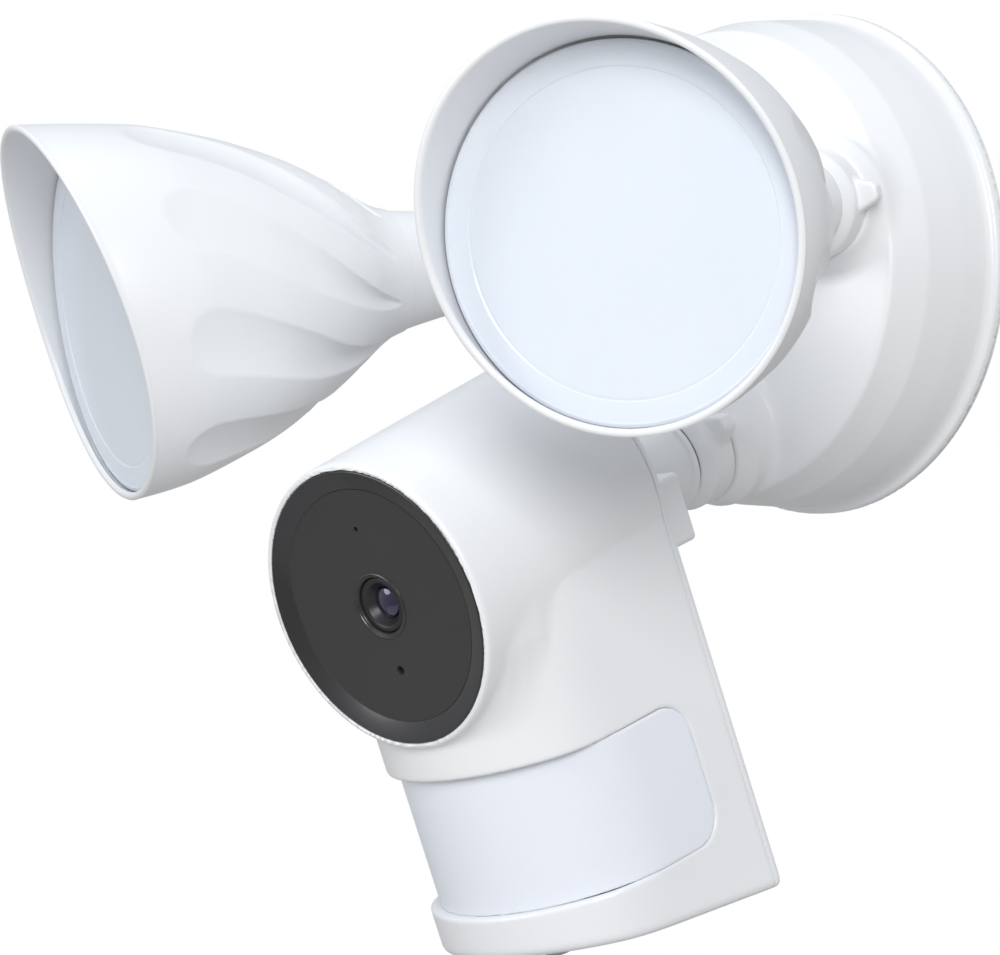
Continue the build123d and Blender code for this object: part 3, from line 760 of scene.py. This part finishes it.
# ---------------------------------------------------------------- camera unit
def plan_outline(half_front, half_rear, back, bulge):
    """The plan of the body in (half width, depth): a half-elliptical front and nearly straight sides."""
    angle = np.radians(np.linspace(90, 0, 40))
    front = [(half_front * math.cos(a), back - bulge * math.sin(a)) for a in angle]
    past_rear = CAMERA_DEPTH + 12
    return [(PLAN_MIDDLE, front[0][1]), *front, (half_rear, past_rear), (PLAN_MIDDLE, past_rear)]


def tapered(depth):
    """Half the width of the body at a depth."""
    return HALF_FRONT + (HALF_REAR - HALF_FRONT) * depth / CAMERA_DEPTH


BODY_PLAN = outline_distance(plan_outline(HALF_FRONT + BODY_PLAN_MARGIN, HALF_FRONT + BODY_PLAN_MARGIN,
                                          BOW_BACK + 1.0, BODY_BULGE), PLAN_REACH)
HOLLOW_PLAN = outline_distance(plan_outline(HALF_FRONT + HOLLOW_PLAN_MARGIN, HALF_FRONT + HOLLOW_PLAN_MARGIN,
                                            BOW_BACK + 1.0, HOLLOW_BULGE), PLAN_REACH)
WINDOW_PLAN = outline_distance(plan_outline(HALF_REAR - 0.3, HALF_REAR - 0.9, BOW_BACK + 3.5, WINDOW_BULGE),
                               PLAN_REACH)


def body_form(x, up, depth, inset=0.0, plan=BODY_PLAN, front_round=1.5, blend=BLEND):
    """The closed outer form of the camera body, set in by a wall: barrel and bowed lower part, softly joined.

    The barrel climbs a little toward the rear, and the floor drops a little.
    """
    half = tapered(depth) - inset
    level = up - BARREL_LIFT * depth
    side = np.hypot(x, np.maximum(level, 0)) - half
    bow = plan(np.abs(x), depth)
    floor = FLOOR_FRONT - FLOOR_SLOPE * depth - up + inset
    lower = both(both(side, bow, SIDE_ROUND), floor, FLOOR_ROUND)
    barrel = both(np.hypot(x, level) - half, inset - depth, front_round)
    before_bow = np.clip((BOW_BACK - 2 - depth) / 16, 0, 1)
    bow_shows = np.clip((bow - side + 1.5) / 4, 0, 1)
    below_axis = np.clip(-level / 16, 0, 1)
    off_face = np.clip(depth / 8, 0.1, 1)
    soft = blend * before_bow * bow_shows * below_axis * off_face
    near = np.maximum(soft - np.abs(barrel - lower), 0)
    form = np.minimum(barrel, lower) - near * near / (4 * np.maximum(soft, 1e-6))
    return both(form, depth - CAMERA_DEPTH + inset, REAR_ROUND)


def window_block(up, depth, grow):
    """The zone of the sensor window; its rear corners are round."""
    middle = (WINDOW_TOP + WINDOW_BOTTOM) / 2
    a = np.abs(up - middle) - (WINDOW_TOP - WINDOW_BOTTOM) / 2 - grow + WINDOW_CORNER
    b = depth - WINDOW_BACK - grow + WINDOW_CORNER
    return np.hypot(np.maximum(a, 0), np.maximum(b, 0)) + np.minimum(np.maximum(a, b), 0) - WINDOW_CORNER


def make_camera_housing():
    def distance(x, up, z):
        depth = -z
        outer = body_form(x, up, depth)
        hollow_depth = np.minimum(depth, CAMERA_DEPTH / 2)
        hollow = body_form(x, up, hollow_depth, BODY_WALL, HOLLOW_PLAN, 1.0, 0.0)
        inner = np.maximum(hollow, FRONT_WALL - depth)
        for px, py in COVER_POSTS:
            side = math.copysign(1, px)
            ends = sorted((px - side * POST_HALF, side * 40))
            post = block(x, up, depth, (ends[0], py - POST_HALF, 46), (ends[1], py + POST_HALF, 70))
            inner = cut(inner, post)
        body = cut(outer, inner)
        body = cut(body, window_block(up, depth, 0.0), 0.8)
        body = both(body, depth - CAMERA_DEPTH + COVER_T, PARTING_ROUND)
        body = cut(body, rod(x, up, depth, BLACK_R + 0.05, -5, 4.5), 0.7)
        body = cut(body, rod(x, up, depth, 30.5, -5, 12))
        reset_x, reset_depth = RESET_AT
        body = cut(body, rod(x - reset_x, depth - reset_depth, up, RESET_HOLE_R, *FLOOR_HOLE_ENDS))
        plug_x, plug_depth = PLUG_AT
        return cut(body, rod(x - plug_x, depth - plug_depth, up, PLUG_HOLE_R, *FLOOR_HOLE_ENDS))
    points, quads = skin(distance, (-36.4, -99.5, -65.0), (36.4, 40.3, 1.0), 0.65)
    add_mesh("camera_shell", points, quads, FACE, "camera_unit", ["camera_housing"], 55)


def make_window():
    def distance(x, up, z):
        depth = -z
        plan = WINDOW_PLAN(np.abs(x), depth)
        sheet = both(plan, -plan - WINDOW_T, 0.3)
        return both(sheet, window_block(up, depth, -WINDOW_PLAY), 0.3)
    points, quads = skin(distance, (-35.6, -79.4, -53.0), (35.6, -43.2, -2.6), 0.55)
    add_mesh("sensor_window", points, quads, FACE, "camera_unit", ["pir_window"], 50)


def make_rear_cover():
    def distance(x, up, z):
        depth = -z
        plate = both(body_form(x, up, depth), CAMERA_DEPTH - COVER_T - depth, PARTING_ROUND)
        arm_block = block(x, up, depth, (-29, -13, CAMERA_DEPTH - 1), (29, 4, CAMERA_DEPTH + 11.5), 1.2)
        arm_block = cut(arm_block, rod(x, up, depth, 17.0, CAMERA_DEPTH, CAMERA_DEPTH + 20))
        body = join(plate, arm_block, 1.2)
        body = cut(body, rod(x, up, depth, 8.0, 50, 90))
        for px, py in COVER_POSTS:
            body = cut(body, rod(x - px, up - py, depth, 1.25, 50, 90))
            body = cut(body, rod(x - px, up - py, depth, 2.6, CAMERA_DEPTH - 1.4, 90), 0.4)
        for row_up in SPEAKER_ROWS:
            slot = block(x, up, depth, (-9, row_up - 0.7, 60), (9, row_up + 0.7, 80), 0.6)
            body = cut(body, slot, 0.3)
        return body
    points, quads = skin(distance, (-36.4, -99.5, -80.0), (36.4, 40.3, -63.6), 0.55)
    add_mesh("camera_back", points, quads, FACE, "camera_unit", ["rear_cover"], 50)


def make_camera_face():
    unit = "camera_unit"
    bezel = soften([(PANEL_R, -PANEL_SINK - 0.1, 0.1), (PANEL_R + 0.25, -PANEL_SINK + 0.12, 0.1),
                    (BLACK_R - 0.35, -0.12, 0.25), (BLACK_R, -0.3, 0.2), (BLACK_R, -4.5, 0.2),
                    (27.0, -4.5, 0.2), (27.0, -3.67, 0.1), (PANEL_R, -3.67, 0.1)], 5)
    lathe("face_rim", bezel, FACE, unit, ["face_bezel"], 240)
    groove = soften([(6.82, -5.0), (8.2, -5.0), (8.2, -1.55, 0.15), (7.75, -1.25, 0.2), (7.45, -1.7, 0.2),
                     (7.05, -1.7, 0.15), (6.82, -2.2)], 5)
    lathe("lens_surround", groove, FACE, unit, ["lens_ring"], 120)
    barrel = soften([(3.65, -23.8), (3.65, -6.45), (3.7, -4.5, 0.2), (5.3, -2.5, 0.3), (5.7, -2.2, 0.2),
                     (6.5, -2.2, 0.3), (6.78, -2.6, 0.2), (6.78, -23.8)], 5)
    lathe("lens_tube", barrel, FACE, unit, ["lens_barrel"], 120)
    angle = np.radians(np.linspace(0.5, 26.5, 14))
    crown = [(8.0 * math.sin(a), 8.0 * math.cos(a) - 11.2) for a in angle]
    glass = [(0.02, -6.4), (3.6, -6.4), (3.6, crown[-1][1] - 0.05), *reversed(crown)]
    lathe("front_element", glass, FACE, unit, ["lens_glass"], 96, False)


def make_camera_arm():
    cup = arc_outline(NECK_CUP_R, 17, 42.5)
    bead = soften([(11.35, 12.35), (12.15, 12.5, 0.5), (12.15, 14.0, 0.6), (11.35, 14.5, 0.5),
                   (11.3, 18.0)], 6)
    tube = through([(11.3, 18.0), (11.7, 26.0), (12.4, 35.0), (13.3, 42.0), (14.6, 45.5), (16.8, 46.6)], 5)
    arm = [*cup, *bead, *tube[1:], (17.0, 46.9), (17.0, ARM_REACH), (10.0, ARM_REACH), (8.6, 21.0),
           NECK_BORE[-1]]
    lathe("arm_tube", arm, CAMERA_BALL, "camera_unit", ["camera_arm"])


def make_bottom_plug():
    """The small soft plug under the body, with a rounded, tapered foot."""
    foot = Vector((PLUG_AT[0], PLUG_TOP, -PLUG_AT[1])) * MM
    at = FACE @ Matrix.Translation(foot) @ Matrix.Rotation(math.radians(-90), 4, "X")
    outline = soften([(0.02, 4.3), (4.0, 4.3, 0.3), (4.0, 0.0, 0.2), (5.0, -0.05, 0.4), (4.4, -1.6, 0.5),
                      (3.2, -3.0, 0.6), (0.02, -3.0)], 5)
    lathe("soft_plug", outline, at, "camera_unit", ["bottom_plug"], 64, False)


# ---------------------------------------------------------------- build
make_canopy()
make_lock_rings()
make_lamp("left", LEFT_LENS, LEFT_BALL, VISOR_LEAN)
make_lamp("right", RIGHT_LENS, RIGHT_BALL, -VISOR_LEAN)
make_camera_housing()
make_window()
make_rear_cover()
make_camera_face()
make_camera_arm()
make_bottom_plug()


# ---------------------------------------------------------------- floor, light and camera
def make_floor():
    """A small grey sheet well below the part, only to throw a little light back."""
    mesh = bpy.data.meshes.new("floor")
    half = 1.6
    level = -1.3
    mesh.from_pydata([(-half, -half, level), (half, -half, level), (half, half, level), (-half, half, level)],
                     [], [(0, 1, 2, 3)])
    floor = bpy.data.objects.new("floor", mesh)
    bpy.context.scene.collection.objects.link(floor)
    mesh.materials.append(moulded("floor_paper", (0.55, 0.54, 0.53), (0.58, 0.57, 0.56), 0.8, grain=60.0))


def area_light(name, place, size, power, colour=(1, 1, 1)):
    """A round lamp aimed at the middle of the part."""
    data = bpy.data.lights.new(name, "AREA")
    data.shape = "DISK"
    data.size = size
    data.energy = power
    data.color = colour
    light = bpy.data.objects.new(name, data)
    light.location = place
    light.rotation_mode = "QUATERNION"
    light.rotation_quaternion = (Vector((0, -0.1, -0.03)) - light.location).to_track_quat("-Z", "Y")
    bpy.context.scene.collection.objects.link(light)


def make_world(backdrop, above, below):
    """A white backdrop for the eye; the object is lit by a cool sky and a dimmer, warmer ground."""
    world = bpy.data.worlds.new("studio")
    bpy.context.scene.world = world
    world.use_nodes = True
    tree = world.node_tree
    tree.nodes.clear()

    def background(colour, strength):
        node = tree.nodes.new("ShaderNodeBackground")
        node.inputs["Color"].default_value = (*colour, 1)
        node.inputs["Strength"].default_value = strength
        return node
    seen = background((1, 1, 1), backdrop)
    ground = background((1.0, 0.96, 0.90), below)
    sky = background((0.92, 0.96, 1.0), above)
    place = tree.nodes.new("ShaderNodeTexCoord")
    split = tree.nodes.new("ShaderNodeSeparateXYZ")
    share = tree.nodes.new("ShaderNodeMapRange")
    share.inputs["From Min"].default_value = -0.5
    share.inputs["From Max"].default_value = 0.5
    lit = tree.nodes.new("ShaderNodeMixShader")
    path = tree.nodes.new("ShaderNodeLightPath")
    mix = tree.nodes.new("ShaderNodeMixShader")
    out = tree.nodes.new("ShaderNodeOutputWorld")
    tree.links.new(place.outputs["Generated"], split.inputs[0])
    tree.links.new(split.outputs["Z"], share.inputs["Value"])
    tree.links.new(share.outputs["Result"], lit.inputs[0])
    tree.links.new(ground.outputs[0], lit.inputs[1])
    tree.links.new(sky.outputs[0], lit.inputs[2])
    tree.links.new(path.outputs["Is Camera Ray"], mix.inputs[0])
    tree.links.new(lit.outputs[0], mix.inputs[1])
    tree.links.new(seen.outputs[0], mix.inputs[2])
    tree.links.new(mix.outputs[0], out.inputs[0])


def make_camera():
    """Long lens from the front right, slightly below the lamps and a little rolled."""
    azimuth = math.radians(46.82)
    elevation = math.radians(-2.71)
    roll = math.radians(-3.96)
    # how far the lens stands left of, above and back from the frame's origin, in metres
    left_by, above_by, back_by = 0.0806, -0.05347, 1.50352
    back = Vector((math.sin(azimuth) * math.cos(elevation), -math.cos(azimuth) * math.cos(elevation),
                   math.sin(elevation)))
    level = Vector((math.cos(azimuth), math.sin(azimuth), 0))
    upright = back.cross(level)
    right = level * math.cos(roll) + upright * math.sin(roll)
    up = upright * math.cos(roll) - level * math.sin(roll)
    camera = bpy.data.objects.new("camera", bpy.data.cameras.new("camera"))
    camera.data.sensor_width = 36.0
    camera.data.lens = 216.0
    camera.data.clip_start = 0.05
    camera.data.clip_end = 50.0
    camera.rotation_mode = "QUATERNION"
    camera.rotation_quaternion = Matrix((right, up, back)).transposed().to_quaternion()
    camera.location = -right * left_by + up * above_by + back * back_by
    bpy.context.scene.collection.objects.link(camera)
    bpy.context.scene.camera = camera


make_floor()
make_world(1.0, 0.66, 0.31)
area_light("key", (1.9, -1.65, 0.7), 1.3, 39.5)
area_light("overhead", (-0.2, -0.3, 2.0), 1.6, 9.5, (0.86, 0.93, 1.0))
area_light("front_left", (-1.0, -2.2, 0.4), 1.3, 15.0, (0.97, 0.98, 1.0))
make_camera()
bpy.context.scene.view_settings.view_transform = "Standard"
